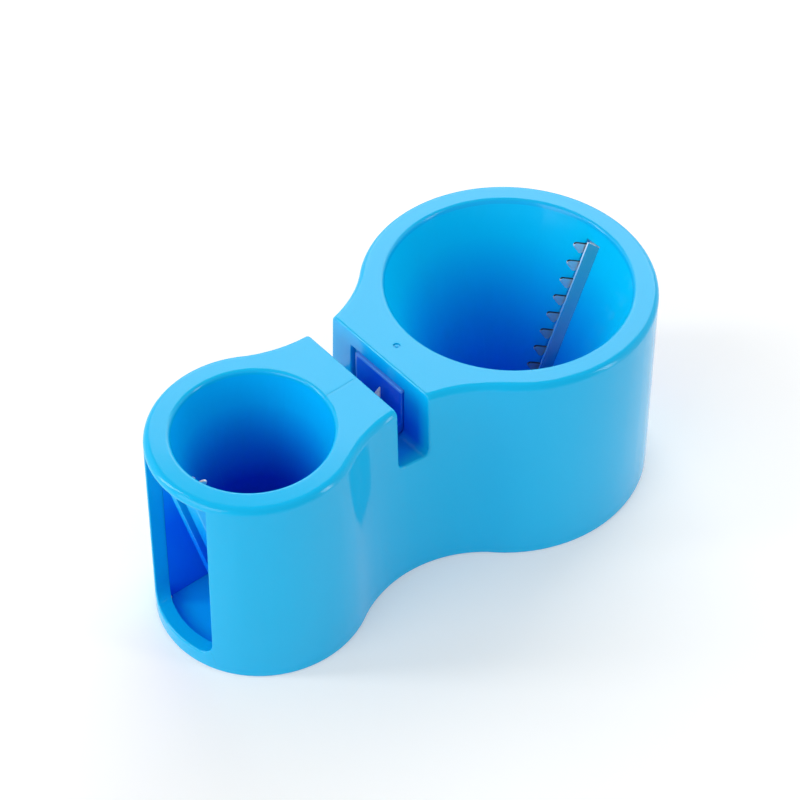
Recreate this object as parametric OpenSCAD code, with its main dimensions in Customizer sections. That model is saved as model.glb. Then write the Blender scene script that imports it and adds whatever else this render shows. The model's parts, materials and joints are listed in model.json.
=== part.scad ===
// Double-funnel spiral slicer for vegetables, with a knife sharpener across its neck.
// Two drums joined by a waist carry a cone each. A vegetable is turned in the cone against a blade
// and a row of teeth, and the strands leave by the window in the end of the drum.
// Millimetres, +Z up, origin under the middle of the foot, large drum towards +X.

/* [Body] */
// Outer radius of the large drum at the deck
large_r = 37; // [35:0.5:42]
// Outer radius of the small drum at the deck
small_r = 25; // [24:0.5:30]
// Distance between the axes of the two drums
axis_gap = 78.6; // [75:0.2:86]
// Height of the deck above the table
body_h = 58; // [52:1:68]
// Growth of every outer radius from the deck down to the foot
wall_draft = 2; // [1:0.25:3]
// Radius of the hollow curves of the waist at the deck
waist_r = 34; // [28:1:42]
// Thickness of the outer wall
wall_t = 3.7; // [3:0.1:4]
// Thickness of the deck
deck_t = 2.4; // [2:0.1:3]
// Rounding of the deck's outer edge
edge_r = 1.8; // [0.8:0.1:2.2]
// Width of the deck's rim round each mouth
rim_w = 6; // [5.5:0.1:7]

/* [Funnels] */
// Radius of the large cone where it meets the base plate
large_tip_r = 7.8; // [6:0.2:10]
// Radius of the small cone where it meets the base plate
small_tip_r = 6.4; // [5:0.2:8]
// Thickness of the cone walls
cone_t = 3; // [2.4:0.1:3.4]
// Rounding of the mouths
lip_r = 1; // [0.4:0.1:1.2]
// Thickness of the deck's lip over the flange of a funnel
lip_t = 1.2; // [0.8:0.1:1.5]
// Height of the plain foot of a funnel
foot_h = 2.4; // [1.6:0.2:4]
// Thickness of the chute walls beside a cone
chute_t = 2; // [1.4:0.1:2.6]
// Distance of the chute walls inside the sides of the window
chute_in = 0.5; // [0.2:0.1:0.8]

/* [Windows] */
// Width of the window in the large drum
large_window_w = 30; // [24:0.5:34]
// Width of the window in the small drum
small_window_w = 23.2; // [20:0.2:25]
// Height of the sill under a window
sill_h = 4.7; // [4:0.1:8]
// Rounding of the lower corners of a window
window_corner_r = 4; // [2:0.5:6]

/* [Blades] */
// Direction of the large cutting edge, from the middle of its window
large_edge_angle = 1.9; // [-1:0.1:4]
// Direction of the small cutting edge, from the middle of its window
small_edge_angle = 2; // [-2:0.1:4]
// Height of a cutting edge over the cone wall
edge_rise = 1.25; // [1:0.05:1.3]
// Tilt of a blade to the cone wall
blade_tilt = 22; // [21.5:0.5:24]
// Thickness of a blade
blade_t = 0.6; // [0.4:0.05:0.8]
// Width of a blade from its edge to its back
blade_w = 5.8; // [5.6:0.1:6.2]
// Width of a blade that shows inside the cone
blade_show = 3.4; // [3.3:0.1:3.7]
// Width of the ground bevel on a blade
bevel_w = 1.3; // [0.8:0.1:2]
// Distance along the wall from the large mouth to its blade
large_blade_top = 4.7; // [4:0.1:6]
// Distance along the wall from the small mouth to its blade
small_blade_top = 4.2; // [4:0.1:6]
// Length of the large blade
large_blade_l = 50; // [46:0.5:50]
// Length of the small blade
small_blade_l = 45; // [42:0.5:46]
// Width of the slit that lets the strands out, ahead of the edge
slit_front = 1.2; // [0.8:0.1:2]
// Width of the slit that lets the strands out, under the blade
slit_back = 1.4; // [1:0.1:2]
// Height of the blade rail over the inside of the cone wall
rail_h = 4.5; // [4.2:0.1:4.8]
// Height of the land ahead of the slit over the inside of the cone wall
land_h = 3.8; // [3.5:0.1:4.2]
// Distance from the cutting edge to the foot of that land
land_w = 10; // [9:0.1:10.6]
// Width of the crest of the blade rail
rail_crest_w = 2.3; // [2:0.1:3]
// Distance from the cutting edge to the foot of the rail
rail_w = 8; // [7.6:0.1:8.6]
// Radius of the pins that hold a blade
pin_r = 0.5; // [0.4:0.05:0.6]
// Distance from the cutting edge to the pins
pin_back = 4.6; // [4.4:0.1:4.8]
// Number of pins in a blade
pin_count = 3; // [2:1:4]

/* [Teeth] */
// Thickness of a tooth comb
comb_t = 0.7; // [0.5:0.05:0.8]
// Distance from tooth to tooth
tooth_pitch = 5.2; // [4.6:0.05:6]
// Distance from the large blade's end to its first tooth
large_tooth_start = 0.75; // [0.5:0.05:3]
// Distance from the small blade's end to its first tooth
small_tooth_start = 1.2; // [0.5:0.05:3]
// Reach of a tooth in the large funnel
large_tooth_l = 3.8; // [3:0.1:4.4]
// Reach of a tooth in the small funnel
small_tooth_l = 2.8; // [2.6:0.1:3.2]
// Drop from the top of a tooth to its lower point
tooth_drop = 2.95; // [2.8:0.05:3.3]
// Width of a tooth where it is bent up
tooth_root = 1.4; // [1:0.1:1.6]
// Angle by which the teeth are bent up from the comb
tooth_bend = 43; // [30:1:60]

/* [Sharpener] */
// Distance of the slot from the axis of the large drum
slot_offset = 45.4; // [45:0.1:46.4]
// Width of the knife slot
slot_w = 8.4; // [7.6:0.1:9]
// Depth of the knife slot under the deck
slot_depth = 19.3; // [17:0.1:24]
// Thickness of the slot's walls and floor
slot_t = 2.3; // [2:0.1:2.8]
// Rounding of the lower corners of the slot
slot_corner_r = 2; // [1:0.1:3]
// Width of the rod holder along the slot
holder_w = 17.3; // [16:0.1:20]
// Depth of the holder's cheeks under the deck
holder_drop = 5.1; // [4:0.1:7]
// Thickness of the holder's cheeks
cheek_t = 1.6; // [1.2:0.1:1.8]
// Height of the cheeks over the slot's walls
cheek_proud = 0.5; // [0.3:0.1:0.8]
// Thickness of the holder's floor
holder_floor_t = 3.6; // [3:0.1:4.4]
// Spare length of the pocket behind the holder
pocket_play = 2; // [0.4:0.1:2.4]
// Radius of a sharpening rod
rod_r = 1.1; // [0.9:0.05:1.3]
// Lean of a sharpening rod
rod_lean = 21; // [16:1:24]
// Length of a sharpening rod
rod_l = 11; // [10:0.2:11.6]
// Length of the pointed end of a rod
rod_point_l = 3.2; // [2:0.1:4]
// Height over the slot's floor at which the rods cross
rod_cross_h = 5; // [4.6:0.1:5.6]

/* [Base] */
// Thickness of the base plate
base_t = 1.9; // [1.6:0.1:2.4]
// Height of the base plate over the table
base_recess = 0.4; // [0.2:0.1:0.8]
// Height of the rings that locate the funnels
ring_h = 1.8; // [1:0.1:2.2]
// Thickness of the rings that locate the funnels
ring_t = 1.2; // [1:0.1:2]
// Radius of a base screw
screw_r = 1.2; // [1:0.05:1.5]
// Length of a base screw
screw_l = 10; // [7:0.5:12]
// Radius of a screw head
screw_head_r = 2.2; // [2:0.05:2.5]
// Radius of a screw boss
boss_r = 3; // [2.6:0.1:3.6]
// Height of a screw boss
boss_h = 14; // [13:0.5:20]

/* [Hidden] */
$fn = 96;

// Clearance of a fit between two pieces
fit = 0.1;
// Clearance of the funnels and the base plate to the outer wall
shell_gap = 0.3;
// Overlap of shapes that are one piece, and overrun of cuts
bite = 1;
// Side of a cut that clears the whole body
beyond = 200;

blue = [0.16, 0.66, 0.91];
steel = [0.72, 0.74, 0.76];
ceramic = [0.86, 0.86, 0.84];

// Places of the two axes, with the foot centred on the origin
large_x = (axis_gap - large_r + small_r) / 2;
small_x = large_x - axis_gap;
large_mouth_r = large_r - rim_w;
small_mouth_r = small_r - rim_w;
base_top = base_recess + base_t;
deck_under = body_h - deck_t;
cone_h = body_h - base_top;
large_half = atan((large_mouth_r - large_tip_r) / cone_h);
small_half = atan((small_mouth_r - small_tip_r) / cone_h);

// Centre of the waist curve, which touches both drums
waist_to_large = large_r + waist_r;
waist_to_small = small_r + waist_r;
waist_x = (small_x + large_x) / 2
        + (pow(waist_to_small, 2) - pow(waist_to_large, 2)) / (2 * axis_gap);
waist_y = sqrt(pow(waist_to_large, 2) - pow(large_x - waist_x, 2));
waist_blend = 0.06;
edge_slope = atan(wall_draft / body_h);
arc_steps = 10;

// Slot and sharpener
slot_x = large_x - slot_offset;
slot_floor = body_h - slot_depth;
holder_top = body_h - holder_drop;
holder_y = 0;
pocket_depth = cheek_t - cheek_proud;
rod_y = 2.2;
rod_cross_z = slot_floor + rod_cross_h;
rod_foot = 4;
holder_screw_y = holder_w / 3;
holder_screw_l = 4.2;
holder_screw_head_h = 1.2;

// Blade pack
stack_t = blade_t + comb_t;
seat_in = 4;
seat_out = 9;
rail_in = 3;
rail_foot = 1;
land_crest = 6.6;
pin_l = 2.6;
finger_reach = 0.1;
comb_set_back = 0.4;
tooth_point = 0.3;
tooth_end_r = 0.7;

// Base screws: drum axis, drum radius and direction
boss_gap = 0.4;
screw_places = [[large_x, large_r, 115], [large_x, large_r, -115],
                [small_x, small_r, 65], [small_x, small_r, -65]];

// Gate mark on the deck
gate_r = 0.85;
gate_depth = 0.35;
gate_offset = 35.8;

// Outer radius of a wall of deck radius r at height z
function wall_r(r, z) = r + wall_draft * (body_h - z) / body_h;

// Radius of the hollow curves of the waist at height z
function hollow_r(z) = waist_r + waist_blend - wall_draft * (body_h - z) / body_h;

// Points on an arc from one angle to another
function arc(centre, r, from, to) =
    [for (i = [0 : arc_steps]) centre + r * [cos(from + (to - from) * i / arc_steps),
                                             sin(from + (to - from) * i / arc_steps)]];

// Distance of a screw boss from the axis of its drum
function boss_dist(r) = wall_r(r, base_top) - wall_t - boss_r - boss_gap;

// Inside radius of a cone with its mouth at the deck, at height z
function cone_r(mouth_r, half, z) = mouth_r - (body_h - z) * tan(half);

// Drafted drum between two heights, drawn in from the outer wall
module drum(r, inset, low, high) {
    rotate_extrude()
        polygon([[0, low], [wall_r(r, low) - inset, low], [wall_r(r, high) - inset, high], [0, high]]);
}

// Drafted drum up to the deck, with its edge rounded
module rounded_drum(r) {
    rotate_extrude()
        polygon(concat([[0, 0], [wall_r(r, 0), 0]],
                       arc([r - edge_r, body_h - edge_r], edge_r, edge_slope, 90),
                       [[0, body_h]]));
}

// Block that the waist is cut from, with its sides where the curves meet the drums
module waist_block(low, high) {
    translate([0, 0, low])
        linear_extrude(high - low)
            polygon([[large_x, 0], [waist_x, waist_y], [small_x, 0], [waist_x, -waist_y]]);
}

// Waist between the drums, between two heights
module waist(inset, low, high) {
    difference() {
        waist_block(low, high);
        for (side = [1, -1])
            translate([waist_x, side * waist_y, 0])
                rotate_extrude()
                    polygon([[0, low - bite], [hollow_r(low - bite) + inset, low - bite],
                             [hollow_r(high + bite) + inset, high + bite], [0, high + bite]]);
    }
}

// Waist up to the deck, with its edges rounded
module rounded_waist() {
    difference() {
        waist_block(0, body_h);
        for (side = [1, -1])
            translate([waist_x, side * waist_y, 0])
                rotate_extrude()
                    polygon(concat([[0, -bite], [hollow_r(-bite), -bite]],
                                   arc([hollow_r(body_h) + edge_r, body_h - edge_r], edge_r,
                                       180 - edge_slope, 90),
                                   [[hollow_r(body_h) + edge_r, body_h + bite], [0, body_h + bite]]));
    }
}

// Whole outline with straight edges, between two heights
module outline(inset, low, high) {
    translate([large_x, 0, 0]) drum(large_r, inset, low, high);
    translate([small_x, 0, 0]) drum(small_r, inset, low, high);
    waist(inset, low, high);
}

// Whole outer body with its deck edge rounded
module outer_body() {
    translate([large_x, 0, 0]) rounded_drum(large_r);
    translate([small_x, 0, 0]) rounded_drum(small_r);
    rounded_waist();
}

// Cut of a mouth through the deck, with its lip rounded and a seat for the flange under it
module mouth(r, mouth_r, half) {
    lip_w = lip_r * tan((90 - half) / 2);
    rotate_extrude()
        polygon(concat([[0, body_h + bite], [mouth_r + lip_w, body_h + bite]],
                       arc([mouth_r + lip_w, body_h - lip_r], lip_r, 90, 180 - half),
                       [[cone_r(mouth_r, half, body_h - lip_t), body_h - lip_t], [0, body_h - lip_t]]));
    drum(r, wall_t + fit, deck_under - bite, body_h - lip_t);
}

// Flat opening from a sill upwards, with its two lower corners rounded
module rounded_opening(width, high, corner_r) {
    translate([-width / 2, corner_r]) square([width, high - corner_r]);
    translate([-width / 2 + corner_r, 0]) square([width - 2 * corner_r, high]);
    for (side = [1, -1])
        translate([side * (width / 2 - corner_r), corner_r]) circle(corner_r);
}

// Window through the end of a drum, towards +X
module window(width) {
    translate([0, 0, sill_h])
        rotate([90, 0, 90])
            linear_extrude(beyond)
                rounded_opening(width, deck_under - sill_h, window_corner_r);
}

// Puts the base screws' shapes at their places
module at_screws() {
    for (place = screw_places)
        translate([place[0], 0, 0])
            rotate([0, 0, place[2]])
                translate([boss_dist(place[1]), 0, 0])
                    children();
}

// Screw boss with the rib that ties it to the wall
module screw_boss() {
    translate([0, 0, base_top]) cylinder(r = boss_r, h = boss_h);
    translate([0, -chute_t / 2, base_top]) cube([boss_r + boss_gap + bite, chute_t, boss_h]);
}

// Walls and floor of the knife slot inside the waist
module slot_trough() {
    intersection() {
        translate([slot_x - slot_w / 2 - slot_t, -beyond / 2, slot_floor - slot_t])
            cube([slot_w + 2 * slot_t, beyond, deck_under - slot_floor + slot_t + deck_t / 2]);
        outline(wall_t / 2, slot_floor - slot_t - bite, body_h);
    }
}

// Cut of the knife slot, open above and at both ends
module knife_slot() {
    translate([slot_x, beyond / 2, slot_floor])
        rotate([90, 0, 0])
            linear_extrude(beyond)
                rounded_opening(slot_w, slot_depth + bite, slot_corner_r);
}

// Pocket for the holder's cheeks in the walls of the slot
module holder_pocket() {
    pocket_w = slot_w + 2 * pocket_depth + 2 * fit;
    translate([slot_x - pocket_w / 2, holder_y - holder_w / 2 - fit, slot_floor])
        cube([pocket_w, holder_w + fit + pocket_play, holder_top + fit - slot_floor]);
}

module housing() {
    color(blue)
    difference() {
        union() {
            difference() {
                outer_body();
                outline(wall_t, -bite, deck_under);
            }
            slot_trough();
            at_screws() screw_boss();
        }
        knife_slot();
        holder_pocket();
        translate([large_x, 0, 0]) mouth(large_r, large_mouth_r, large_half);
        translate([small_x, 0, 0]) mouth(small_r, small_mouth_r, small_half);
        translate([large_x, 0, 0]) window(large_window_w);
        translate([small_x, 0, 0]) rotate([0, 0, 180]) window(small_window_w);
        at_screws()
            translate([0, 0, base_recess]) cylinder(r = screw_r + fit / 2, h = screw_l + bite);
        for (side = [1, -1])
            translate([slot_x, holder_y + side * holder_screw_y, slot_floor - slot_t - bite])
                cylinder(r = screw_r + fit, h = slot_t + 2 * bite);
        translate([large_x - gate_offset, 0, body_h - gate_depth])
            difference() {
                cylinder(r = gate_r, h = bite);
                cylinder(r = gate_r / 2, h = gate_depth / 2);
            }
    }
}

// Outside radius of a funnel's foot
function foot_r(tip_r, half) = tip_r + foot_h * tan(half) + cone_t / cos(half);

module base_plate() {
    color(blue)
    difference() {
        union() {
            outline(wall_t + shell_gap, base_recess, base_top);
            translate([large_x, 0, base_top - base_t / 2])
                cylinder(r = foot_r(large_tip_r, large_half) + fit + ring_t, h = base_t / 2 + ring_h);
            translate([small_x, 0, base_top - base_t / 2])
                cylinder(r = foot_r(small_tip_r, small_half) + fit + ring_t, h = base_t / 2 + ring_h);
        }
        translate([large_x, 0, base_top])
            cylinder(r = foot_r(large_tip_r, large_half) + fit, h = ring_h + bite);
        translate([small_x, 0, base_top])
            cylinder(r = foot_r(small_tip_r, small_half) + fit, h = ring_h + bite);
        at_screws() {
            cylinder(r = screw_r + fit, h = base_top + bite);
            translate([0, 0, base_recess - bite])
                cylinder(r1 = screw_head_r + bite + fit, r2 = screw_r + fit,
                         h = screw_head_r + bite - screw_r);
        }
    }
}

// Countersunk self-tapping screws under the base plate
module base_screws() {
    color(steel)
    at_screws()
        translate([0, 0, base_recess]) {
            cylinder(r1 = screw_head_r, r2 = screw_r, h = screw_head_r - screw_r);
            cylinder(r = screw_r, h = screw_l);
        }
}

// Frame on the inside of a cone wall: X out through the wall, Y round it, Z up along it from the mouth
module on_wall(mouth_r, half, angle) {
    rotate([0, 0, angle])
        translate([mouth_r, 0, body_h])
            rotate([0, half, 0])
                children();
}

// Frame on a blade: X out of its back face, Y past its cutting edge, Z up along the wall
module on_blade(mouth_r, half, angle) {
    on_wall(mouth_r, half, angle)
        translate([-edge_rise, 0, 0])
            rotate([0, 0, blade_tilt])
                children();
}

// Point of the blade frame in the frame of the wall
function from_blade(c, f) = [c * cos(blade_tilt) - f * sin(blade_tilt) - edge_rise,
                             c * sin(blade_tilt) + f * cos(blade_tilt)];

// Cut for a blade pack: the slit through the wall, the opening inside it and the groove in the rail
module blade_seat(top, length) {
    under = stack_t + fit / 2;
    slit_foot = -(slit_back + under * sin(blade_tilt)) / cos(blade_tilt);
    translate([0, 0, -top - length - fit])
        linear_extrude(length + 2 * fit)
            polygon([[-seat_in, slit_front], [seat_out, slit_front], [seat_out, -slit_back],
                     from_blade(under, slit_foot), from_blade(under, -blade_w - fit),
                     from_blade(-fit / 2, -blade_w - fit), from_blade(-fit / 2, -blade_show),
                     from_blade(-seat_in, -blade_show)]);
}

// Heights of the pins along a blade
function pin_places(top, length) = [for (i = [0 : pin_count - 1]) -top - length * (i + 0.5) / pin_count];

// Rail along the outside of a cone that holds the blade pack, and the land on the other side of the slit
module blade_rail(r, mouth_r, half, angle, blade_top, length) {
    intersection() {
        on_wall(mouth_r, half, angle)
            translate([0, 0, -blade_top - length - bite])
                linear_extrude(blade_top + length)
                    polygon([[-rail_in, land_w], [rail_foot, land_w], [land_h, land_crest], [land_h, 0],
                             [rail_h, 0], [rail_h, -slit_back - rail_crest_w], [rail_foot, -rail_w],
                             [-rail_in, -rail_w]]);
        drum(r, wall_t / 2, base_top, deck_under - shell_gap);
    }
}

// Room round the foot of a funnel for the ring that locates it
module ring_room(tip_r, half) {
    translate([0, 0, base_top - bite])
        difference() {
            cylinder(r = foot_r(tip_r, half) + ring_t + 2 * fit, h = ring_h + fit + bite);
            cylinder(r = foot_r(tip_r, half), h = ring_h + fit + bite);
        }
}

// Funnel in the frame of its drum, with its window towards +X
module funnel(r, mouth_r, tip_r, half, window_w, angle, blade_top, length) {
    top = body_h - lip_t;
    out = cone_t / cos(half);
    difference() {
        union() {
            intersection() {
                union() {
                    drum(r, wall_t + shell_gap, deck_under, top);
                    rotate_extrude()
                        polygon([[0, base_top], [foot_r(tip_r, half), base_top],
                                 [foot_r(tip_r, half), base_top + foot_h],
                                 [cone_r(mouth_r, half, top) + out, top], [0, top]]);
                    for (side = [1, -1])
                        translate([0, side * ((window_w + chute_t) / 2 - chute_in) - chute_t / 2, base_top])
                            cube([r + wall_draft, chute_t, deck_under - base_top + deck_t / 4]);
                }
                drum(r, wall_t + 2 * fit, base_top, top);
            }
            blade_rail(r, mouth_r, half, angle, blade_top, length);
        }
        rotate_extrude()
            polygon([[0, base_top - bite], [cone_r(mouth_r, half, base_top - bite), base_top - bite],
                     [cone_r(mouth_r, half, body_h), body_h], [0, body_h]]);
        ring_room(tip_r, half);
        on_wall(mouth_r, half, angle) blade_seat(blade_top, length);
        on_blade(mouth_r, half, angle)
            for (z = pin_places(blade_top, length))
                translate([0, -pin_back, z])
                    rotate([0, 90, 0]) cylinder(r = pin_r + fit / 4, h = pin_l + fit);
    }
}

module large_funnel() {
    color(blue)
    translate([large_x, 0, 0])
        funnel(large_r, large_mouth_r, large_tip_r, large_half, large_window_w, large_edge_angle,
               large_blade_top, large_blade_l);
}

module small_funnel() {
    color(blue)
    translate([small_x, 0, 0])
        rotate([0, 0, 180])
            funnel(small_r, small_mouth_r, small_tip_r, small_half, small_window_w, small_edge_angle,
                   small_blade_top, small_blade_l);
}

// Holes for the pins through a sheet of a blade pack
module pin_holes(top, length) {
    for (z = pin_places(top, length))
        translate([-bite, -pin_back, z])
            rotate([0, 90, 0]) cylinder(r = pin_r + fit / 2, h = stack_t + 2 * bite);
}

// Strip of steel with one ground edge
module slicing_blade(top, length) {
    difference() {
        translate([0, 0, -top - length])
            linear_extrude(length)
                polygon([[0, 0], [blade_t, -bevel_w], [blade_t, -blade_w], [0, -blade_w]]);
        pin_holes(top, length);
    }
}

// Outline of a tooth: straight along its top, with a round end and a round lower point
function tooth_outline(tooth_l) =
    let(point = [tooth_point * tooth_l, tooth_end_r - tooth_drop],
        end = [tooth_l - tooth_end_r, -tooth_end_r],
        root = [0, -tooth_root],
        side = atan2(point.x - end.x, end.y - point.y),
        under = atan2(root.y - point.y, root.x - point.x) + acos(tooth_end_r / norm(root - point)) - 360)
    concat([[0, 0]], arc(end, tooth_end_r, 90, side), arc(point, tooth_end_r, side, under), [root]);

// Strip of steel behind the blade, with teeth bent up past the cutting edge
module tooth_comb(top, length, start, tooth_l) {
    count = floor((length - start - tooth_drop) / tooth_pitch) + 1;
    difference() {
        translate([blade_t, -blade_w, -top - length])
            cube([comb_t, blade_w - comb_set_back, length]);
        pin_holes(top, length);
    }
    for (i = [0 : count - 1])
        translate([blade_t, 0, -top - start - i * tooth_pitch]) {
            translate([0, -comb_set_back - bite, -tooth_root])
                cube([comb_t, comb_set_back + bite + finger_reach, tooth_root]);
            translate([comb_t / 2, finger_reach, 0]) {
                translate([0, 0, -tooth_root]) cylinder(r = comb_t / 2, h = tooth_root, $fn = 24);
                rotate([0, 0, 90 + tooth_bend])
                    translate([0, comb_t / 2, 0])
                        rotate([90, 0, 0])
                            linear_extrude(comb_t)
                                polygon(tooth_outline(tooth_l));
            }
        }
}

// Plain pins pressed through the blade pack into the rail
module blade_pins(top, length) {
    for (z = pin_places(top, length))
        translate([0, -pin_back, z])
            rotate([0, 90, 0]) cylinder(r = pin_r, h = pin_l);
}

// Puts a shape on the blade of the large funnel
module on_large_blade() {
    translate([large_x, 0, 0]) on_blade(large_mouth_r, large_half, large_edge_angle) children();
}

// Puts a shape on the blade of the small funnel
module on_small_blade() {
    translate([small_x, 0, 0])
        rotate([0, 0, 180]) on_blade(small_mouth_r, small_half, small_edge_angle) children();
}

module large_slicing_blade() {
    color(steel)
    on_large_blade() slicing_blade(large_blade_top, large_blade_l);
}

module small_slicing_blade() {
    color(steel)
    on_small_blade() slicing_blade(small_blade_top, small_blade_l);
}

module large_tooth_comb() {
    color(steel)
    on_large_blade() tooth_comb(large_blade_top, large_blade_l, large_tooth_start, large_tooth_l);
}

module small_tooth_comb() {
    color(steel)
    on_small_blade() tooth_comb(small_blade_top, small_blade_l, small_tooth_start, small_tooth_l);
}

module large_blade_pins() {
    color(steel)
    on_large_blade() blade_pins(large_blade_top, large_blade_l);
}

module small_blade_pins() {
    color(steel)
    on_small_blade() blade_pins(small_blade_top, small_blade_l);
}

// Sharpening rod on its axis: side is -1 for the front rod and 1 for the rear one
module on_rod(side) {
    translate([slot_x, side * rod_y, rod_cross_z])
        rotate([0, -side * rod_lean, 0])
            translate([0, 0, -rod_foot])
                children();
}

// Channel with two cheeks in the walls of the slot and a floor that the rods stand in
module sharpener_holder() {
    color(blue)
    difference() {
        translate([slot_x - slot_w / 2 - pocket_depth, holder_y - holder_w / 2, slot_floor])
            difference() {
                cube([slot_w + 2 * pocket_depth, holder_w, holder_top - slot_floor]);
                translate([cheek_t, -bite, holder_floor_t])
                    cube([slot_w - 2 * cheek_proud, holder_w + 2 * bite, slot_depth]);
            }
        for (side = [1, -1]) {
            on_rod(side) cylinder(r = rod_r + fit / 2, h = rod_l);
            translate([slot_x, holder_y + side * holder_screw_y, slot_floor - bite])
                cylinder(r = screw_r + fit / 2, h = holder_screw_l - slot_t + bite + fit);
        }
    }
}

// Round rod with one pointed end
module sharpening_rod(side) {
    color(ceramic)
    on_rod(side) {
        cylinder(r = rod_r, h = rod_l - rod_point_l);
        translate([0, 0, rod_l - rod_point_l]) cylinder(r1 = rod_r, r2 = rod_r / 8, h = rod_point_l);
    }
}

module front_sharpening_rod() { sharpening_rod(-1); }
module rear_sharpening_rod() { sharpening_rod(1); }

// Screws that hold the sharpener from under the slot's floor
module holder_screws() {
    color(steel)
    for (side = [1, -1])
        translate([slot_x, holder_y + side * holder_screw_y, slot_floor - slot_t]) {
            translate([0, 0, -holder_screw_head_h]) cylinder(r = screw_head_r, h = holder_screw_head_h);
            cylinder(r = screw_r, h = holder_screw_l);
        }
}

housing();
base_plate();
base_screws();
large_funnel();
small_funnel();
large_slicing_blade();
small_slicing_blade();
large_tooth_comb();
small_tooth_comb();
large_blade_pins();
small_blade_pins();
sharpener_holder();
front_sharpening_rod();
rear_sharpening_rod();
holder_screws();
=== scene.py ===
import json
import math

import bmesh
import bpy
from mathutils import Matrix, Vector

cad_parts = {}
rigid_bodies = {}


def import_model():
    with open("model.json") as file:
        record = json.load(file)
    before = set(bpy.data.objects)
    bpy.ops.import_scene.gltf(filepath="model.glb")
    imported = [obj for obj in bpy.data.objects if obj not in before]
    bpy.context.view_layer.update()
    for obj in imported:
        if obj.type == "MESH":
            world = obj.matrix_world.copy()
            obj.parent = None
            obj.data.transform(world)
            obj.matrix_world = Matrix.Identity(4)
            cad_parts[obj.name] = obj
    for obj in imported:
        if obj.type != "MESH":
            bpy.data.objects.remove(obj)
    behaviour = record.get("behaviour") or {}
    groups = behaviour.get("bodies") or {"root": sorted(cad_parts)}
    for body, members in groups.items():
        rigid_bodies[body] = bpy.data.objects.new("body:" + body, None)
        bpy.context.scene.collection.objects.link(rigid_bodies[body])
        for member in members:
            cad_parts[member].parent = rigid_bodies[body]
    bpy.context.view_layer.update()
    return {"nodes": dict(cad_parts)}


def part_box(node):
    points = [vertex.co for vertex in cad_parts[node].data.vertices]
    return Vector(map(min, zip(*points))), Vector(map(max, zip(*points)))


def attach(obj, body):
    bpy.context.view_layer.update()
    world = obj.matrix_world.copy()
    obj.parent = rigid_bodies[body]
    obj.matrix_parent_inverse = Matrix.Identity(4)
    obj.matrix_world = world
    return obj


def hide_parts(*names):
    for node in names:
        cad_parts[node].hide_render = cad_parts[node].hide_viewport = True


for leftover in list(bpy.data.objects):
    bpy.data.objects.remove(leftover)
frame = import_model()

# Colours, as linear light
SKY_BLUE = (0.002, 0.49, 0.88)
INSIDE_BLUE = (0.002, 0.52, 0.98)
# Painted light and shade: the large funnel's mouth blue is lightened, and the small funnel's is darker than
# it, standing in for how much light falls into each
LARGE_FUNNEL_LIT_BLUE = (0.001, 0.57, 0.94)
SMALL_FUNNEL_SHADED_BLUE = (0.001, 0.48, 0.95)
# Painted shade: darker copies of the plastic's blue, for the funnels' chute walls and cone backs, the knife
# slot and the large funnel's tip, and the small funnel's tip
CHUTE_SHADE_BLUE = (0.001, 0.20, 0.92)
DEEP_SHADE_BLUE = (0.001, 0.11, 0.86)
DARKEST_SHADE_BLUE = (0.001, 0.07, 0.76)
# Painted shade: the sharpener holder is a darker copy of the plastic's blue, for the shade in the knife
# slot
HOLDER_SHADED_BLUE = (0.002, 0.16, 0.88)
# Painted highlight on the sharpener holder's top and back rims
RIM_HIGHLIGHT_BLUE = (0.12, 0.42, 0.95)
STEEL_GREY = (0.52, 0.54, 0.56)
TOOTH_GREY = (0.86, 0.80, 0.80)
# Painted shade on the teeth's upward-facing tops
TOOTH_TOP_SHADE = (0.03, 0.03, 0.04)
ZINC_GREY = (0.55, 0.56, 0.58)
PALE_CERAMIC = (0.78, 0.77, 0.73)
PAPER_WHITE = (0.87, 0.87, 0.86)
LIGHT_WHITE = (1.0, 1.0, 1.0)
# Each funnel's blue at the mouth, then its painted shade deep in the funnel
FUNNEL_PAINTED_BLUES = {"large": (LARGE_FUNNEL_LIT_BLUE, DEEP_SHADE_BLUE), "small": (SMALL_FUNNEL_SHADED_BLUE, DARKEST_SHADE_BLUE)}

# Grains: features per metre, or per radian around a cone, then detail and roughness
PLASTIC_CLOUD = (28.0, 3.0, 0.5)
PLASTIC_HAZE = (75.0, 4.0, 0.5)
PLASTIC_PEEL = (420.0, 2.0, 0.5)
PLASTIC_SPECK = (2600.0, 1.0, 0.5)
DRAW_MARKS = (16.0, 4.0, 0.65)
GRINDING_LINES = (5200.0, 3.0, 0.6)
BLADE_STAINS = (160.0, 3.0, 0.5)
TOOTH_MOTTLE = (700.0, 4.0, 0.6)
ZINC_MOTTLE = (900.0, 4.0, 0.6)
CERAMIC_GRAIN = (5200.0, 3.0, 0.7)
METAL_TRACES = (900.0, 3.0, 0.5)

# Spans of a grain over which a finish changes, and the share by which grinding lines are drawn out
GRAIN_SPAN = (0.3, 0.7)
DRAW_SPAN = (0.3, 0.75)
SCUFF_SPAN = (0.6, 0.75)
TRACE_SPAN = (0.55, 0.75)
GRINDING_STRETCH = 0.015

# Shades: shares of a colour, some of them for painted highlights and painted shade
PLASTIC_SHADES = (0.97, 1.03)
WELD_LINE_SHADE = 0.86
SCUFF_SHADE = 1.1
BLADE_SHADES = (0.94, 1.04)
# Painted highlight along the blade's honed margin
HONED_HIGHLIGHT_SHADE = 1.6
# Painted glint on the blade's upward-facing cut ends
END_GLINT_SHADE = 1.7
TOOTH_SHADES = (0.92, 1.08)
# How dark the teeth get towards the bottom of the funnel
LOW_DARKENING_SHADE = 0.25
ZINC_SHADES = (0.8, 1.15)
CERAMIC_SHADES = (0.9, 1.06)
TRACE_SHADE = 0.6

# Strengths of marks, of painted shade and of painted highlights, from none at 0 to full at 1
WELD_LINE_STRENGTH = 0.6
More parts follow.
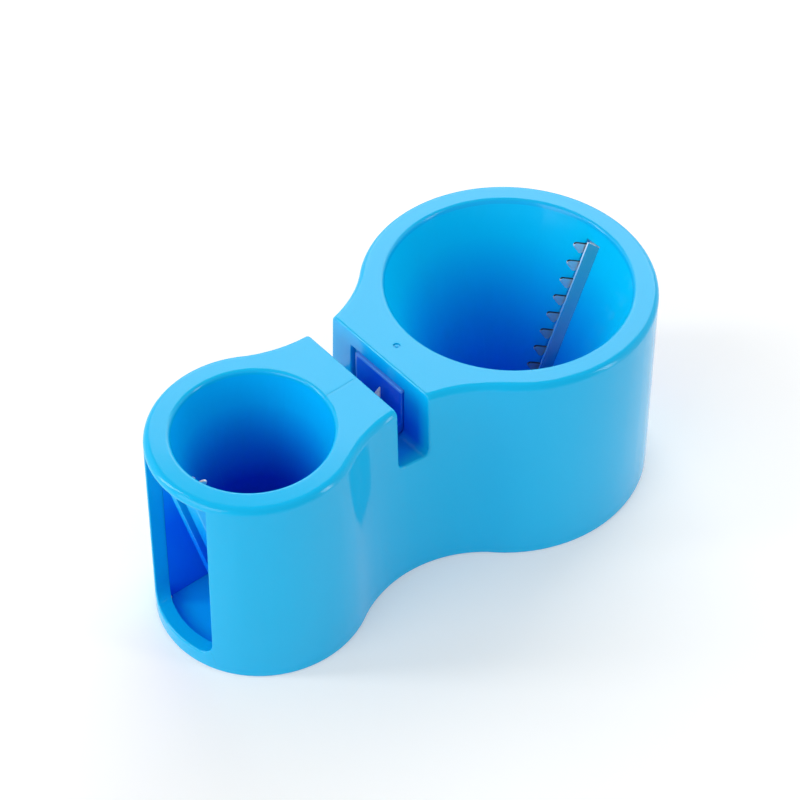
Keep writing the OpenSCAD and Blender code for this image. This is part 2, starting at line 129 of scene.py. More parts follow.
# Painted shade in the knife slot, and the share of it left on the slot's upward-facing floor
SLOT_STRENGTH = 0.8
SLOT_FLOOR_SHARE = 0.55
# Strength of the painted highlight on the holder's rims
RIM_HIGHLIGHT_STRENGTH = 0.8
SCUFF_STRENGTH = 0.1
# Strength of the painted shade on the tops of each funnel's teeth
TOOTH_TOP_SHADE_STRENGTHS = {"large": 1.0, "small": 0.15}
LOW_DARKENING_STRENGTH = 0.75
TRACE_STRENGTH = 0.35

# Roughness, from smooth spots to hazy ones
HOUSING_POLISH = (0.10, 0.16)
INSIDE_POLISH = (0.18, 0.24)
HOLDER_POLISH = (0.12, 0.18)
FUNNEL_POLISH = (0.12, 0.18)
BLADE_POLISH = (0.05, 0.1)
HONED_HAZE = 0.3
TOOTH_POLISH = (0.36, 0.5)
ZINC_POLISH = (0.26, 0.42)
CERAMIC_POLISH = (0.45, 0.65)
FLOOR_ROUGHNESS = 0.9

# How strongly plastic mirrors, and how metallic bare steel looks
PLASTIC_IOR = 1.37
FUNNEL_IOR = 1.22
# Less metallic on the blade's painted glint, so that it shows pale
END_GLINT_METAL = 0.2
TOOTH_METAL = 0.7

# Reliefs: depth in metres and strength
PEEL_RELIEF = (0.00001, 0.3)
SPECK_RELIEF = (0.000006, 0.2)
WELD_LINE_RELIEF = (0.00004, 0.8)
DRAW_RELIEF = (0.000006, 0.2)
GRINDING_RELIEF = (0.000002, 0.2)
TOOTH_RELIEF = (0.000005, 0.3)
ZINC_RELIEF = (0.000005, 0.4)
CERAMIC_RELIEF = (0.00001, 0.5)

# Edges, in metres, with angles given in degrees
MERGE = 2e-6
FLAT = math.radians(0.6)
LEVEL = 0.999
SHARP = math.radians(30)
CUTTING = math.radians(140)
SMOOTH = math.radians(33)
EDGE_STEPS = 3
HOUSING_EDGE = 0.0006
GATE_EDGE = 0.00012
FUNNEL_EDGE = 0.00025
HOLDER_EDGE = 0.0003
PLATE_EDGE = 0.0003
STEEL_EDGE = 0.00004
TOOTH_EDGE = 0.00025
ROD_EDGE = 0.00006

# Cross recesses of the screws, in metres
HEAD_REACH = 0.0022
CROSS_HALF = 0.00035
CROSS_REACH = 0.0013
CROSS_DEPTH = 0.0009
CROSS_TAPER = 0.6
CROSS_CUT = 2e-7

# Places in metres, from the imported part
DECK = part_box("housing")[1].z
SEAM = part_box("large_funnel")[1].z
SLOT_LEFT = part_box("sharpener_holder")[0].x
SLOT_X = (SLOT_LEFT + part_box("sharpener_holder")[1].x) / 2

# Sizes and places in metres that the solids have too
DRUM_INSIDE = {"large": 0.0353, "small": 0.0233}
DRUM_TAPER = 0.002 / DECK
CONE_RADII = {"large": (0.0093, 0.0325), "small": (0.0079, 0.0205)}
CHUTE_PLAY = 0.0002
SLOT_HALF = 0.0042
GATE_X = -0.0025

# Bands in metres that pick out faces, edges and corners, and the play that the chute walls keep
SEAM_BAND = 0.00002
SEAT_RINGS = (SEAM - 0.002, SEAM + 0.0005)
FUNNEL_RINGS = (0.0, SEAM + 0.0005)
CHUTE_BAND = 0.00006
CHUTE_TOUCH = 0.00002
GATE_REACH = 0.0012

# Marks, painted shade and painted highlights: the spans in metres over which they fade, and tilts as the
# upward part of a face's normal
WELD_LINE_Y = -0.0024
WELD_LINE_SIDE = (0.0001, 0.0004)
WELD_LINE_START = (SLOT_LEFT - 0.0124, SLOT_LEFT - 0.0094)
WELD_LINE_END = (SLOT_LEFT, SLOT_LEFT + 0.001)
WELD_LINE_HEIGHT = (DECK - 0.0006, DECK - 0.0004)
# Where the painted shade in the knife slot lies and fades
SLOT_SIDE = (SLOT_HALF + 0.0001, SLOT_HALF + 0.0004)
SLOT_FRONT = (-0.0172, -0.0142)
SLOT_BACK = (0.003, 0.011)
SLOT_DEPTH = (DECK - 0.014, DECK - 0.001)
SLOT_FLOOR_TILT = (0.3, 0.9)
# Width and fade of the painted highlight on the holder's rims
RIM_HIGHLIGHT_WIDTH = 0.0006
RIM_HIGHLIGHT_FADE = 0.0002
CONE_WALL = (-0.0003, 0.0003)
# Heights over which the painted shade in each funnel deepens
FUNNEL_SHADE_DEPTHS = {"large": (0.006, DECK - 0.009), "small": (0.028, DECK - 0.009)}
# Width of the honed margin, which is hazier and carries a painted highlight
HONED_HIGHLIGHT_MARGIN = (0.0003, 0.0004)
# Tilt at which a blade face gets the painted glint
END_GLINT_TILT = (0.6, 0.8)
TOOTH_ROOT = (-0.0002, 0.0002)
# Tilt at which a tooth face gets painted shade
TOOTH_TOP_SHADE_TILT = (0.45, 0.65)
LOW_DARKENING_HEIGHT = (DECK - 0.045, DECK - 0.014)

# Camera: places in metres, with lens and sensor in millimetres
CAMERA_AT = Vector((-0.2135, -0.2522, 0.3796))
CAMERA_LOOKS_AT = Vector((0.00464, 0.0072, 0.02889))
CAMERA_ROLL = math.radians(0.29)
CAMERA_LENS = 87.11
SENSOR = 36.0

# Studio: the floor in metres, strengths of light, and where the white backdrop shows in reflections
FLOOR_HALF = 3.0
FLOOR_LIFT = 0.2
AMBIENT = 0.48
ROOM = 0.3
BEHIND = Vector((0.64, 0.77, 0.0))
BACKDROP_SIDE = (-0.5, 0.1)
BACKDROP_TOP = (0.5, 0.8)

# Softboxes: direction from the object, width and height in metres, and brightness
SOFTBOX_DISTANCE = 1.0
SOFTBOXES = {
    "softbox_behind": ((0.58, 0.50, 0.62), 1.1, 0.5, 3.0),
    "softbox_left": ((-0.95, -0.05, 0.4), 0.7, 0.6, 2.6),
    "strip_light_left": ((-0.70, 0.52, 0.55), 0.14, 0.85, 7.0),
    "strip_light_right": ((0.5, -0.84, 0.28), 0.16, 0.75, 6.0),
}

# Colour sockets of a mix node
MIX_FIRST = 6
MIX_SECOND = 7
MIX_RESULT = 2


def axis_of(size):
    """X of a drum's axis, from the round part of its funnel."""
    low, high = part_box(size + "_funnel")
    half_width = (high.y - low.y) / 2
    return low.x + half_width if size == "large" else high.x - half_width


# Shader helpers

def add(tree, kind, settings=None, **values):
    """Adds a shader node, sets its settings and its input values, and returns it."""
    made = tree.nodes.new(kind)
    for key, value in (settings or {}).items():
        setattr(made, key, value)
    for key, value in values.items():
        made.inputs[key.replace("_", " ").title()].default_value = value
    return made


def join(tree, source, target):
    """Links an output to an input."""
    tree.links.new(source, target)


def new_material(name):
    """An empty material and its principled shader."""
    material = bpy.data.materials.new(name)
    material.use_nodes = True
    tree = material.node_tree
    return material, tree, tree.nodes["Principled BSDF"]


def object_coords(tree):
    """Places on a piece, in metres."""
    return add(tree, "ShaderNodeTexCoord").outputs["Object"]


def parts_of(tree, vector):
    """The X, Y and Z outputs of a vector."""
    made = add(tree, "ShaderNodeSeparateXYZ")
    join(tree, vector, made.inputs["Vector"])
    return made.outputs


def facing_up(tree):
    """The upward part of a face's normal."""
    return parts_of(tree, add(tree, "ShaderNodeTexCoord").outputs["Normal"])["Z"]


def flat_vector(tree, across, along):
    """A vector with two outputs as its X and Y."""
    made = add(tree, "ShaderNodeCombineXYZ")
    join(tree, across, made.inputs["X"])
    join(tree, along, made.inputs["Y"])
    return made.outputs["Vector"]


def noise(tree, coords, grain):
    """Noise of a grain."""
    scale, detail, roughness = grain
    made = add(tree, "ShaderNodeTexNoise", scale=scale, detail=detail, roughness=roughness)
    join(tree, coords, made.inputs["Vector"])
    return made.outputs["Fac"]


def remap(tree, value, span, to_span):
    """Maps a value from one span to another, held at the ends."""
    made = add(tree, "ShaderNodeMapRange", {"clamp": True})
    for key, number in zip(("From Min", "From Max", "To Min", "To Max"), (*span, *to_span)):
        made.inputs[key].default_value = number
    join(tree, value, made.inputs["Value"])
    return made.outputs["Result"]


def rising(tree, value, span, strength=1.0):
    """Mask that rises from nothing to a strength over a span of a value."""
    return remap(tree, value, span, (0.0, strength))


def falling(tree, value, span, strength=1.0):
    """Mask that falls from a strength to nothing over a span of a value."""
    return remap(tree, value, span, (strength, 0.0))


def calculate(tree, operation, first, second):
    """Arithmetic on two values; each is a number or an output."""
    made = add(tree, "ShaderNodeMath", {"operation": operation})
    for socket, value in zip(made.inputs, (first, second)):
        if isinstance(value, (int, float)):
            socket.default_value = value
        else:
            join(tree, value, socket)
    return made.outputs[0]


def product(tree, first, *others):
    """Product of masks."""
    for other in others:
        first = calculate(tree, "MULTIPLY", first, other)
    return first


def distance_from(tree, value, middle):
    """How far a value lies from a middle, to either side."""
    return calculate(tree, "ABSOLUTE", calculate(tree, "SUBTRACT", value, middle), 0.0)


def along_axis(tree, coords, axis, origin):
    """Distance of a point from an origin along an axis."""
    made = add(tree, "ShaderNodeVectorMath", {"operation": "DOT_PRODUCT"})
    join(tree, coords, made.inputs[0])
    made.inputs[1].default_value = axis
    return calculate(tree, "SUBTRACT", made.outputs["Value"], axis.dot(origin))


def blend_colours(tree, factor, first, second):
    """Mix of two colours; each is a colour or a colour output."""
    made = add(tree, "ShaderNodeMix", {"data_type": "RGBA"})
    join(tree, factor, made.inputs["Factor"])
    for socket, colour in ((made.inputs[MIX_FIRST], first), (made.inputs[MIX_SECOND], second)):
        if isinstance(colour, tuple):
            socket.default_value = (*colour, 1.0)
        else:
            join(tree, colour, socket)
    return made.outputs[MIX_RESULT]


def shade_of(colour, share):
    """The colour made lighter or darker by a share."""
    return tuple(channel * share for channel in colour)


def mottled(tree, factor, colour, shades):
    """A colour that wanders between two shades of itself."""
    darker, lighter = shades
    return blend_colours(tree, factor, shade_of(colour, darker), shade_of(colour, lighter))


def relief(tree, shader, layers):
    """Bumps on a shader's normal; each layer is a height output with its depth and strength."""
    last = None
    for height, (depth, strength) in layers:
        bump = add(tree, "ShaderNodeBump", strength=strength, distance=depth)
        join(tree, height, bump.inputs["Height"])
        if last is not None:
            join(tree, last, bump.inputs["Normal"])
        last = bump.outputs["Normal"]
    join(tree, last, shader.inputs["Normal"])


# Finishes

def weld_mark(tree, coords):
    """Mask of the faint line on the deck, between the small mouth and the slot, where the plastic met."""
    axes = parts_of(tree, coords)
    across = falling(tree, distance_from(tree, axes["Y"], WELD_LINE_Y), WELD_LINE_SIDE)
    along = rising(tree, axes["X"], WELD_LINE_START, WELD_LINE_STRENGTH)
    on_deck = rising(tree, axes["Z"], WELD_LINE_HEIGHT)
    before_slot = falling(tree, axes["X"], WELD_LINE_END)
    return product(tree, across, along, on_deck, before_slot)


def painted_slot_shade(tree, coords):
    """Mask of painted shade on the knife slot's walls and floor, stronger with depth, weaker on the
    upward-facing floor as if lit, and fading out towards the slot's ends.
    """
    axes = parts_of(tree, coords)
    between_walls = falling(tree, distance_from(tree, axes["X"], SLOT_X), SLOT_SIDE)
    from_front = rising(tree, axes["Y"], SLOT_FRONT)
    from_back = falling(tree, axes["Y"], SLOT_BACK)
    deep_shade = falling(tree, axes["Z"], SLOT_DEPTH, SLOT_STRENGTH)
    # Less painted shade on the upward-facing floor, as if lit
    lit_floor = remap(tree, facing_up(tree), SLOT_FLOOR_TILT, (1.0, SLOT_FLOOR_SHARE))
    return product(tree, between_walls, from_front, from_back, deep_shade, lit_floor)


def painted_rim_highlight(tree, coords, node):
    """Mask of a painted highlight along a node's top and back rims."""
    axes = parts_of(tree, coords)
    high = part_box(node)[1]
    rims = []
    for letter, end in (("Z", high.z), ("Y", high.y)):
        start = end - RIM_HIGHLIGHT_WIDTH
        rims.append(rising(tree, axes[letter], (start - RIM_HIGHLIGHT_FADE, start), RIM_HIGHLIGHT_STRENGTH))
    return calculate(tree, "MAXIMUM", *rims)


def moulded_plastic(name, tint, polish, on_housing=False, rim_highlight_node=None):
    """Glossy injection-moulded plastic with cloudy colour, fine peel and hazy spots."""
    material, tree, shader = new_material(name)
    coords = object_coords(tree)
    colour = mottled(tree, noise(tree, coords, PLASTIC_CLOUD), tint, PLASTIC_SHADES)
    peel = noise(tree, coords, PLASTIC_PEEL)
    speck = noise(tree, coords, PLASTIC_SPECK)
    layers = [(peel, PEEL_RELIEF), (speck, SPECK_RELIEF)]
    if on_housing:
        line = weld_mark(tree, coords)
        colour = blend_colours(tree, line, colour, shade_of(tint, WELD_LINE_SHADE))
        layers.append((calculate(tree, "SUBTRACT", 1.0, line), WELD_LINE_RELIEF))
        # Painted shade: the knife slot's walls and floor darken towards a deep blue with depth
        colour = blend_colours(tree, painted_slot_shade(tree, coords), colour, DEEP_SHADE_BLUE)
    if rim_highlight_node:
        # Painted highlight: a paler blue along the holder's top and back rims
        colour = blend_colours(tree, painted_rim_highlight(tree, coords, rim_highlight_node), colour, RIM_HIGHLIGHT_BLUE)
    join(tree, colour, shader.inputs["Base Color"])
    haze = noise(tree, coords, PLASTIC_HAZE)
    join(tree, remap(tree, haze, GRAIN_SPAN, polish), shader.inputs["Roughness"])
    relief(tree, shader, layers)
    shader.inputs["IOR"].default_value = PLASTIC_IOR
    return material


def outside_cone(tree, axes, radii):
    """Mask of what lies outside the middle of a cone's wall: its back, the chute walls and the flange."""
    from_axis = add(tree, "ShaderNodeVectorMath", {"operation": "LENGTH"})
    join(tree, flat_vector(tree, axes["X"], axes["Y"]), from_axis.inputs[0])
    wall = remap(tree, axes["Z"], (0.0, DECK), radii)
    return rising(tree, calculate(tree, "SUBTRACT", from_axis.outputs["Value"], wall), CONE_WALL)


def funnel_plastic(name, size):
    """The same plastic on a funnel, with faint draw marks up its cone, and painted shade: a deeper blue
    towards the tip and on the cone's back, the chute walls and the flange.
    """
    mouth_colour, deep_shade_colour = FUNNEL_PAINTED_BLUES[size]
    material, tree, shader = new_material(name)
    coords = object_coords(tree)
    centred = add(tree, "ShaderNodeMapping")
    centred.inputs["Location"].default_value = (-axis_of(size), 0.0, 0.0)
    join(tree, coords, centred.inputs["Vector"])
    axes = parts_of(tree, centred.outputs["Vector"])
    turn = calculate(tree, "ARCTAN2", axes["Y"], axes["X"])
    streaks = noise(tree, flat_vector(tree, turn, axes["Z"]), DRAW_MARKS)
    # The mouth's blue is lightened for the large funnel and darkened for the small one, standing in for
    # light and shade
    near_mouth = mottled(tree, noise(tree, coords, PLASTIC_CLOUD), mouth_colour, PLASTIC_SHADES)
    # Painted shade deep in the funnel, on the back of the cone, the chute walls and the flange
    deep_shade = blend_colours(tree, outside_cone(tree, axes, CONE_RADII[size]), deep_shade_colour, CHUTE_SHADE_BLUE)
    colour = blend_colours(tree, falling(tree, axes["Z"], FUNNEL_SHADE_DEPTHS[size]), near_mouth, deep_shade)
    scuffs = rising(tree, streaks, SCUFF_SPAN, SCUFF_STRENGTH)
    colour = blend_colours(tree, scuffs, colour, shade_of(SKY_BLUE, SCUFF_SHADE))
    join(tree, colour, shader.inputs["Base Color"])
    join(tree, remap(tree, streaks, DRAW_SPAN, FUNNEL_POLISH), shader.inputs["Roughness"])
    relief(tree, shader, [(noise(tree, coords, PLASTIC_PEEL), PEEL_RELIEF), (streaks, DRAW_RELIEF)])
    shader.inputs["IOR"].default_value = FUNNEL_IOR
    return material


def ground_steel(name, place):
    """Polished stainless strip with fine grinding lines along it, a honed margin that is hazier and carries
    a painted highlight, and a painted glint on its upward-facing cut ends.
    """
    start, along, back = place
    material, tree, shader = new_material(name)
    coords = object_coords(tree)
    length = along_axis(tree, coords, along, start)
    width = along_axis(tree, coords, back, start)
    drawn_out = flat_vector(tree, calculate(tree, "MULTIPLY", length, GRINDING_STRETCH), width)
    lines = noise(tree, drawn_out, GRINDING_LINES)
    honed_with_highlight = falling(tree, width, HONED_HIGHLIGHT_MARGIN)
    painted_end_glint = rising(tree, facing_up(tree), END_GLINT_TILT)
    colour = mottled(tree, noise(tree, coords, BLADE_STAINS), STEEL_GREY, BLADE_SHADES)
    # Painted highlight: the honed margin along the cutting edge is lightened; its haze in the roughness is
    # real
    colour = blend_colours(tree, honed_with_highlight, colour, shade_of(STEEL_GREY, HONED_HIGHLIGHT_SHADE))
    # Painted glint: the blade's upward-facing cut ends are lightened and made less metallic
    colour = blend_colours(tree, painted_end_glint, colour, shade_of(STEEL_GREY, END_GLINT_SHADE))
    join(tree, colour, shader.inputs["Base Color"])
    join(tree, remap(tree, painted_end_glint, (0.0, 1.0), (1.0, END_GLINT_METAL)), shader.inputs["Metallic"])
    polish = remap(tree, lines, GRAIN_SPAN, BLADE_POLISH)
    haze = calculate(tree, "MULTIPLY", honed_with_highlight, HONED_HAZE)
    join(tree, calculate(tree, "ADD", polish, haze), shader.inputs["Roughness"])
    relief(tree, shader, [(lines, GRINDING_RELIEF)])
    return material


def stamped_steel(name, place, top_shade):
    """Stainless sheet of the teeth, matt from the press, darker towards the bottom, with painted shade on
    the teeth's upward-facing tops.
    """
    start, _, back = place
    material, tree, shader = new_material(name)
    coords = object_coords(tree)
    on_teeth = falling(tree, along_axis(tree, coords, back, start), TOOTH_ROOT)
    # Painted shade: the teeth's upward-facing tops are darkened
    painted_top_shade = product(tree, on_teeth, rising(tree, facing_up(tree), TOOTH_TOP_SHADE_TILT, top_shade))
    # The teeth are darker towards the bottom of the funnel
    darker_low = falling(tree, parts_of(tree, coords)["Z"], LOW_DARKENING_HEIGHT, LOW_DARKENING_STRENGTH)
    mottle = noise(tree, coords, TOOTH_MOTTLE)
    colour = mottled(tree, mottle, TOOTH_GREY, TOOTH_SHADES)
    colour = blend_colours(tree, darker_low, colour, shade_of(TOOTH_GREY, LOW_DARKENING_SHADE))
    join(tree, blend_colours(tree, painted_top_shade, colour, TOOTH_TOP_SHADE), shader.inputs["Base Color"])
    shader.inputs["Metallic"].default_value = TOOTH_METAL
    join(tree, remap(tree, mottle, GRAIN_SPAN, TOOTH_POLISH), shader.inputs["Roughness"])
    relief(tree, shader, [(mottle, TOOTH_RELIEF)])
    return material


def zinc_steel(name):
    """Plain zinc-bright steel of screws and pins."""
    material, tree, shader = new_material(name)
    mottle = noise(tree, object_coords(tree), ZINC_MOTTLE)
    join(tree, mottled(tree, mottle, ZINC_GREY, ZINC_SHADES), shader.inputs["Base Color"])
    shader.inputs["Metallic"].default_value = 1.0
    join(tree, remap(tree, mottle, GRAIN_SPAN, ZINC_POLISH), shader.inputs["Roughness"])
    relief(tree, shader, [(mottle, ZINC_RELIEF)])
    return material


def fired_ceramic(name):
    """Pale ceramic with a fine open grain and grey metal traces."""
    material, tree, shader = new_material(name)
    coords = object_coords(tree)
    grain = noise(tree, coords, CERAMIC_GRAIN)
    traces = rising(tree, noise(tree, coords, METAL_TRACES), TRACE_SPAN, TRACE_STRENGTH)
    colour = mottled(tree, grain, PALE_CERAMIC, CERAMIC_SHADES)
    colour = blend_colours(tree, traces, colour, shade_of(PALE_CERAMIC, TRACE_SHADE))
    join(tree, colour, shader.inputs["Base Color"])
    join(tree, remap(tree, grain, GRAIN_SPAN, CERAMIC_POLISH), shader.inputs["Roughness"])
    relief(tree, shader, [(grain, CERAMIC_RELIEF)])
    return material


# Making of pieces

def welded(node, rings=(0.0, 0.0)):
    """A node's mesh as one closed skin, its flat faces joined except level rings between two heights."""
    bm = bmesh.new()
    bm.from_mesh(frame["nodes"][node].data)
    bmesh.ops.remove_doubles(bm, verts=bm.verts, dist=MERGE)
    low, high = rings
    level = [face for face in bm.faces
             if abs(face.normal.z) > LEVEL and low < face.calc_center_median().z < high]
    kept_edges = {edge for face in level for edge in face.edges}
    kept_corners = {corner for face in level for corner in face.verts}
    bmesh.ops.dissolve_limit(bm, angle_limit=FLAT, delimit={"NORMAL"},
                             verts=[corner for corner in bm.verts if corner not in kept_corners],
                             edges=[edge for edge in bm.edges if edge not in kept_edges])
    return bm


def strip_axes(node):
    """A blade's place: a point on its cutting edge, the edge's direction and the direction back from it."""
    bm = welded(node)
    cutting = [edge for edge in bm.edges if edge.calc_face_angle(0.0) > CUTTING]
    longest = max(cutting, key=lambda edge: edge.calc_length())
    face = max(longest.link_faces, key=lambda side: side.calc_area())
    start, end = (corner.co.copy() for corner in longest.verts)
    along = (end - start).normalized()
    back = face.normal.cross(along)
    if back.dot(face.calc_center_median() - start) < 0.0:
        back.negate()
    bm.free()
    return start, along, back


def on_seam(edge):
    """True where an edge lies in the joint between the deck's lip and a funnel."""
    return all(abs(corner.co.z - SEAM) < SEAM_BAND for corner in edge.verts)


def on_gate(edge):
    """True where an edge belongs to the gate mark on the deck."""
    gate = Vector((GATE_X, 0.0))
    return all((corner.co.xy - gate).length < GATE_REACH and corner.co.z > SEAM for corner in edge.verts)


def in_drum(edge):
    """True where an edge lies on the inside of a drum's wall, under the deck."""
    spot = (edge.verts[0].co + edge.verts[1].co) / 2
    return spot.z < SEAM and any((spot.xy - Vector((axis_of(size), 0.0))).length < DRUM_INSIDE[size]
                                 for size in ("large", "small"))


def sharp_edges(bm):
    """Outward sharp edges of a skin, apart from cutting edges and the funnels' joints."""
    return [edge for edge in bm.edges
            if edge.is_convex and SHARP < edge.calc_face_angle(0.0) < CUTTING and not on_seam(edge)]


def round_edges(bm, edges, radius):
    """Rounds some edges of a skin."""
    bmesh.ops.bevel(bm, geom=edges, offset=radius, offset_type="OFFSET", segments=EDGE_STEPS, profile=0.5,
                    affect="EDGES", clamp_overlap=False, loop_slide=True, material=-1)


def finish_piece(bm, name, node, material):
    """Makes a piece of a skin, shades it and puts it in a node's place."""
    mesh = bpy.data.meshes.new(name)
    for face in bm.faces:
        face.smooth = True
    for edge in bm.edges:
        edge.smooth = edge.calc_face_angle(0.0) < SMOOTH
    bm.to_mesh(mesh)
    bm.free()
    mesh.materials.append(material)
    piece = bpy.data.objects.new(name, mesh)
    bpy.context.scene.collection.objects.link(piece)
    normals = piece.modifiers.new("even shading", "WEIGHTED_NORMAL")
    normals.keep_sharp = True
    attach(piece, "root")
    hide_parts(node)


def rounded_piece(node, name, material, radius):
    """A node's own shape with its sharp edges rounded."""
    bm = welded(node)
    round_edges(bm, sharp_edges(bm), radius)
    finish_piece(bm, name, node, material)


def housing_piece(material):
    """The housing, with its outer edges rounded, its gate mark crisp and its inside left as it is."""
    bm = welded("housing", SEAT_RINGS)
    round_edges(bm, [edge for edge in sharp_edges(bm) if on_gate(edge)], GATE_EDGE)
    outer = [edge for edge in sharp_edges(bm) if not on_gate(edge) and not in_drum(edge)]
    round_edges(bm, outer, HOUSING_EDGE)
    finish_piece(bm, "housing_moulding", "housing", material)


def funnel_piece(size, material):
    """A funnel with rounded edges, and the ends of its chute walls crisp and up to the drum's wall."""
    bm = welded(size + "_funnel", FUNNEL_RINGS)
    axis = Vector((axis_of(size), 0.0))
    chute_ends = set()
    for corner in bm.verts:
        outward = corner.co.xy - axis
        play = DRUM_INSIDE[size] - DRUM_TAPER * corner.co.z - outward.length
        if abs(play - CHUTE_PLAY) < CHUTE_BAND:
            corner.co.xy += outward.normalized() * (play - CHUTE_TOUCH)
            chute_ends.add(corner)
    rounded = [edge for edge in sharp_edges(bm) if not chute_ends.issuperset(edge.verts)]
    round_edges(bm, rounded, FUNNEL_EDGE)
    finish_piece(bm, size + "_funnel_moulding", size + "_funnel", material)


def on_head(face, spot):
    """True where a face lies flat on the head of the screw that has its middle at a spot."""
    middle = face.calc_center_median()
    return face.normal.z < -LEVEL and abs(middle.z - spot.z) < MERGE and (middle - spot).length < HEAD_REACH


def in_cross(face, spot):
    """True where a face lies in the cross recess of a screw."""
    aside = face.calc_center_median() - spot
    narrow, wide = sorted((abs(aside.x), abs(aside.y)))
    return narrow < CROSS_HALF and wide < CROSS_REACH


def sink_cross(bm, spot):
    """Sinks a tapered cross recess into the head of a screw."""
    for direction in (Vector((1.0, 0.0, 0.0)), Vector((0.0, 1.0, 0.0))):
        for step in (-CROSS_REACH, -CROSS_HALF, CROSS_HALF, CROSS_REACH):
            head = [face for face in bm.faces if on_head(face, spot)]
            edges = {edge for face in head for edge in face.edges}
            corners = {corner for face in head for corner in face.verts}
            bmesh.ops.bisect_plane(bm, geom=[*head, *edges, *corners], dist=CROSS_CUT,
                                   plane_co=spot + direction * step, plane_no=direction)
    cross = [face for face in bm.faces if on_head(face, spot) and in_cross(face, spot)]
    sunk = bmesh.ops.extrude_face_region(bm, geom=cross)["geom"]
    bmesh.ops.delete(bm, geom=cross, context="FACES")
    floor_corners = [item for item in sunk if isinstance(item, bmesh.types.BMVert)]
    bmesh.ops.translate(bm, vec=(0.0, 0.0, CROSS_DEPTH), verts=floor_corners)
    bmesh.ops.scale(bm, vec=(CROSS_TAPER, CROSS_TAPER, 1.0), space=Matrix.Translation(-spot),
                    verts=floor_corners)


def screw_piece(node, name, material):
    """Screws with their heads down, each with a cross recess."""
    bm = welded(node)
    low = min(corner.co.z for corner in bm.verts)
    heads = [face.calc_center_median() for face in bm.faces
             if face.normal.z < -LEVEL and abs(face.calc_center_median().z - low) < MERGE]
    round_edges(bm, sharp_edges(bm), STEEL_EDGE)
    for spot in heads:
        sink_cross(bm, spot)
    finish_piece(bm, name, node, material)


def make_pieces():
    """All pieces of the slicer."""
    plastic = moulded_plastic("glossy_blue_plastic", SKY_BLUE, HOUSING_POLISH, on_housing=True)
    inner_plastic = moulded_plastic("blue_plastic_inside", INSIDE_BLUE, INSIDE_POLISH)
    # The holder's darker blue is painted shade
    holder_shaded_plastic = moulded_plastic("holder_shaded_blue_plastic", HOLDER_SHADED_BLUE, HOLDER_POLISH,
                                   rim_highlight_node="sharpener_holder")
    housing_piece(plastic)
    rounded_piece("base_plate", "base_moulding", inner_plastic, PLATE_EDGE)
    rounded_piece("sharpener_holder", "holder_moulding", holder_shaded_plastic, HOLDER_EDGE)
    zinc = zinc_steel("zinc_bright_steel")
    ceramic = fired_ceramic("pale_fired_ceramic")
    for size in ("large", "small"):
        funnel_piece(size, funnel_plastic(size + "_funnel_plastic", size))
        place = strip_axes(size + "_slicing_blade")
        ground = ground_steel(size + "_blade_steel", place)
        stamped = stamped_steel(size + "_tooth_steel", place, TOOTH_TOP_SHADE_STRENGTHS[size])
        rounded_piece(size + "_slicing_blade", size + "_blade_strip", ground, STEEL_EDGE)
        rounded_piece(size + "_tooth_comb", size + "_toothed_strip", stamped, TOOTH_EDGE)
        rounded_piece(size + "_blade_pins", size + "_blade_rivets", zinc, STEEL_EDGE)
    for side in ("front", "rear"):
        rounded_piece(side + "_sharpening_rod", side + "_ceramic_rod", ceramic, ROD_EDGE)
    screw_piece("base_screws", "base_plate_screws", zinc)
    screw_piece("holder_screws", "sharpener_screws", zinc)


# Stage

def seen_or_mirrored(tree):
    """1 for what the camera sees, directly, in a reflection or through a clear piece, and 0 for light."""
    path = add(tree, "ShaderNodeLightPath").outputs
    seen = calculate(tree, "MAXIMUM", path["Is Camera Ray"], path["Is Glossy Ray"])
    return calculate(tree, "MAXIMUM", seen, path["Is Transmission Ray"])


def floor():
    """A wide white floor that stays white around the object and keeps its shadow."""
    bm = bmesh.new()
    bmesh.ops.create_grid(bm, x_segments=1, y_segments=1, size=FLOOR_HALF)
    mesh = bpy.data.meshes.new("studio_floor")
    bm.to_mesh(mesh)
    bm.free()
    material, tree, shader = new_material("white_floor")
    shader.inputs["Base Color"].default_value = (*PAPER_WHITE, 1.0)
    shader.inputs["Roughness"].default_value = FLOOR_ROUGHNESS
    shader.inputs["Specular IOR Level"].default_value = 0.0
    shader.inputs["Emission Color"].default_value = (*LIGHT_WHITE, 1.0)
    lift = calculate(tree, "MULTIPLY", seen_or_mirrored(tree), FLOOR_LIFT)
    join(tree, lift, shader.inputs["Emission Strength"])
    mesh.materials.append(material)
    piece = bpy.data.objects.new("studio_floor", mesh)
    bpy.context.scene.collection.objects.link(piece)


def softbox(name, towards, width, height, brightness):
    """A flat rectangular light that faces the object from a direction; brightness 1 shows as white."""
    light = bpy.data.lights.new(name, "AREA")
    light.shape = "RECTANGLE"
    light.size = width
    light.size_y = height
    light.energy = brightness * math.pi * width * height
    lamp = bpy.data.objects.new(name, light)
    away = Vector(towards).normalized()
    turn = away.to_track_quat("Z", "Y").to_matrix().to_4x4()
    lamp.matrix_world = Matrix.Translation(away * SOFTBOX_DISTANCE) @ turn
    lamp.visible_camera = False
    bpy.context.scene.collection.objects.link(lamp)


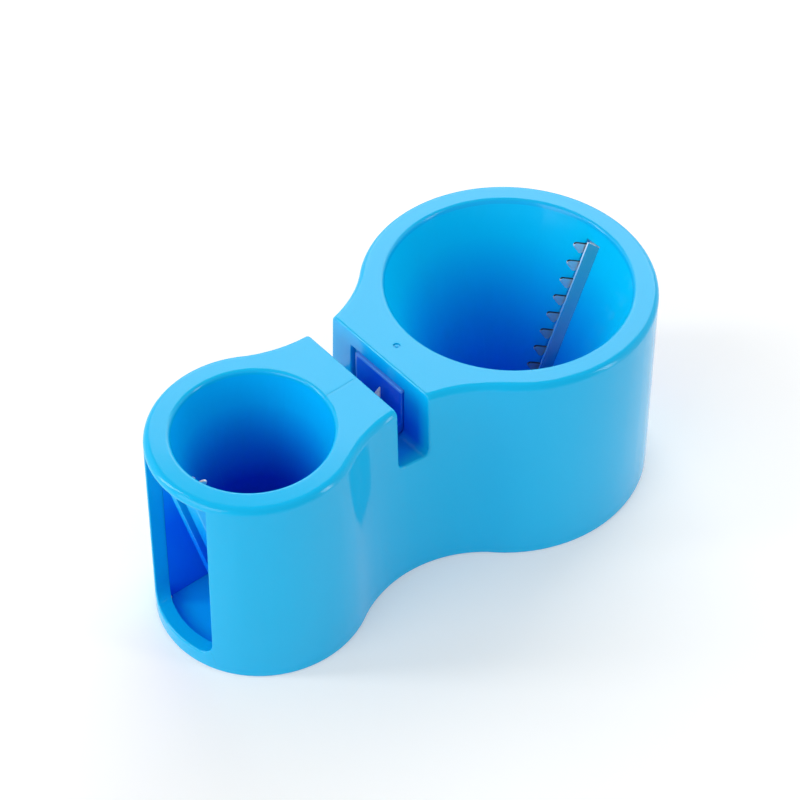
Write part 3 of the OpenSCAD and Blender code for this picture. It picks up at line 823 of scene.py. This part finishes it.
def surroundings():
    """White behind the object, a dim room in reflections above and before it, and soft even light on it."""
    world = bpy.data.worlds.new("white_studio")
    bpy.context.scene.world = world
    world.use_nodes = True
    tree = world.node_tree
    output = tree.nodes["World Output"]
    lit = tree.nodes["Background"]
    lit.inputs["Color"].default_value = (*LIGHT_WHITE, 1.0)
    lit.inputs["Strength"].default_value = AMBIENT
    room = add(tree, "ShaderNodeBackground")
    room.inputs["Color"].default_value = (*LIGHT_WHITE, 1.0)
    towards = add(tree, "ShaderNodeTexCoord").outputs["Generated"]
    behind = along_axis(tree, towards, BEHIND, Vector((0.0, 0.0, 0.0)))
    height = parts_of(tree, towards)["Z"]
    white = product(tree, rising(tree, behind, BACKDROP_SIDE), falling(tree, height, BACKDROP_TOP))
    camera_ray = add(tree, "ShaderNodeLightPath").outputs["Is Camera Ray"]
    white = calculate(tree, "MAXIMUM", white, camera_ray)
    join(tree, remap(tree, white, (0.0, 1.0), (ROOM, 1.0)), room.inputs["Strength"])
    mix = add(tree, "ShaderNodeMixShader")
    join(tree, seen_or_mirrored(tree), mix.inputs["Fac"])
    join(tree, lit.outputs["Background"], mix.inputs[1])
    join(tree, room.outputs["Background"], mix.inputs[2])
    join(tree, mix.outputs["Shader"], output.inputs["Surface"])


def camera():
    """The photograph's view."""
    lens = bpy.data.cameras.new("photo_view")
    lens.sensor_fit = "HORIZONTAL"
    lens.sensor_width = SENSOR
    lens.lens = CAMERA_LENS
    view = bpy.data.objects.new("photo_view", lens)
    turn = (CAMERA_LOOKS_AT - CAMERA_AT).to_track_quat("-Z", "Y").to_matrix().to_4x4()
    view.matrix_world = Matrix.Translation(CAMERA_AT) @ turn @ Matrix.Rotation(CAMERA_ROLL, 4, "Z")
    bpy.context.scene.collection.objects.link(view)
    bpy.context.scene.camera = view


def stage():
    """Floor, lights, surroundings and camera."""
    floor()
    surroundings()
    for name, settings in SOFTBOXES.items():
        softbox(name, *settings)
    camera()
    bpy.context.scene.view_settings.view_transform = "Standard"


make_pieces()
stage()
